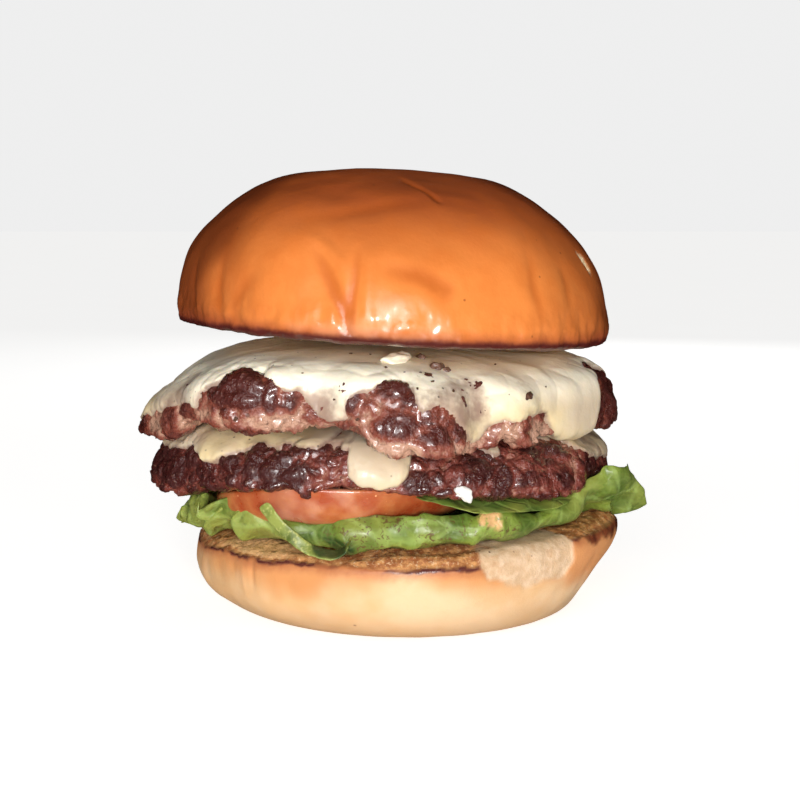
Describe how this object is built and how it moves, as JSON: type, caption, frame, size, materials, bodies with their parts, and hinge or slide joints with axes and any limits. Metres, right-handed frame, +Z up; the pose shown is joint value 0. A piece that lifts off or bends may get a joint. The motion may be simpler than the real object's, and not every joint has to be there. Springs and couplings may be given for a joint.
{
  "type": "hamburger",
  "caption": "Tall hamburger of beef patties under melted cheese, with tomato and lettuce, in a round glazed bun.",
  "frame": {"origin": "middle of the flat foot under the heel of the bun", "axes": "+Z up through the stack, -Y towards the side the picture shows, +X to that side's right"},
  "size_m": [0.1276, 0.1207, 0.1083],
  "materials": {
    "glazed_crust": "glazed orange-brown bun crust, darker at the top and rim",
    "pale_crust": "soft pale bun crust with a toasted cut edge",
    "seared_beef": "moist seared minced beef, dark brown with paler grains",
    "melted_cheese": "melted ivory cheese with a soft sheen",
    "tomato": "wet orange-red tomato",
    "lettuce": "fresh green leaf with paler veins",
    "white_sauce": "glossy white sauce"
  },
  "bodies": {
    "root": {"crown": "glazed_crust", "heel": "pale_crust", "patty_upper": "seared_beef", "patty_lower": "seared_beef", "cheese_upper": "melted_cheese", "cheese_lower": "melted_cheese", "tomato": "tomato", "lettuce_leaf": "lettuce", "lettuce_flap": "lettuce", "lettuce_curl": "lettuce", "sauce_dab": "white_sauce"}
  },
  "joints": []
}
